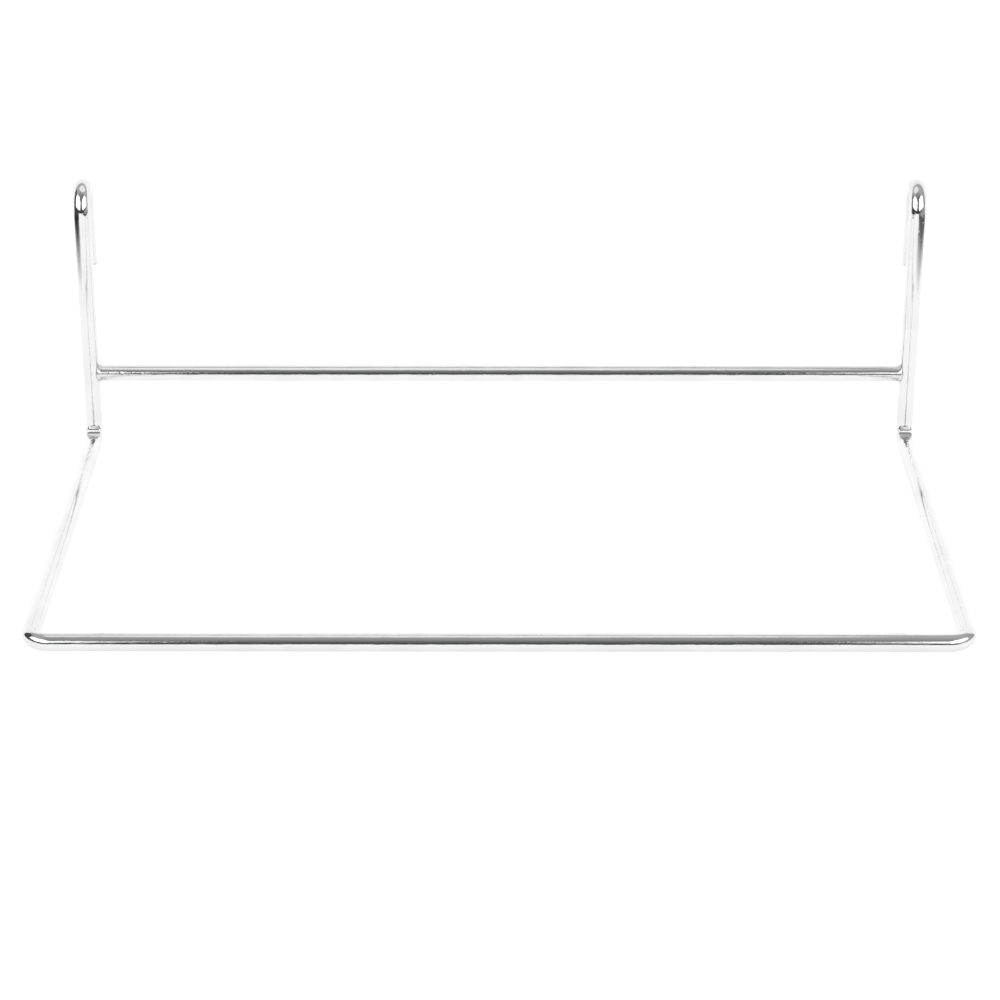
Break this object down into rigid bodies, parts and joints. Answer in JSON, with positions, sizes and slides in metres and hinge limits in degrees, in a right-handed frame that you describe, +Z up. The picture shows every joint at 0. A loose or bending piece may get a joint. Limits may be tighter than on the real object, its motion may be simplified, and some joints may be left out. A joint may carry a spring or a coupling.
{
  "type": "plastic bag holder",
  "caption": "Chrome-plated round-wire bag holder: a flat rectangular loop that holds a bag's mouth open, on legs that hook over a rail, joined by a welded crossbar.",
  "frame": {"origin": "on the surface the bottom loop stands on, under the middle of the object's box", "axes": "+X to the right along the crossbar, -Y the way the loop reaches out, +Z up along the legs to the hooks"},
  "size_m": [0.3, 0.179, 0.1],
  "materials": {
    "chrome_wire": "bright chrome plate over steel wire, with fine draw lines and light handling scratches",
    "chrome_crossbar": "bright chrome plate over steel wire, with fine draw lines",
    "chrome_weld": "chrome plate over a resistance weld, duller and slightly uneven"
  },
  "bodies": {
    "root": {"bent_wire_frame": "chrome_wire", "crossbar": "chrome_crossbar", "weld_left": "chrome_weld", "weld_right": "chrome_weld"}
  },
  "joints": []
}
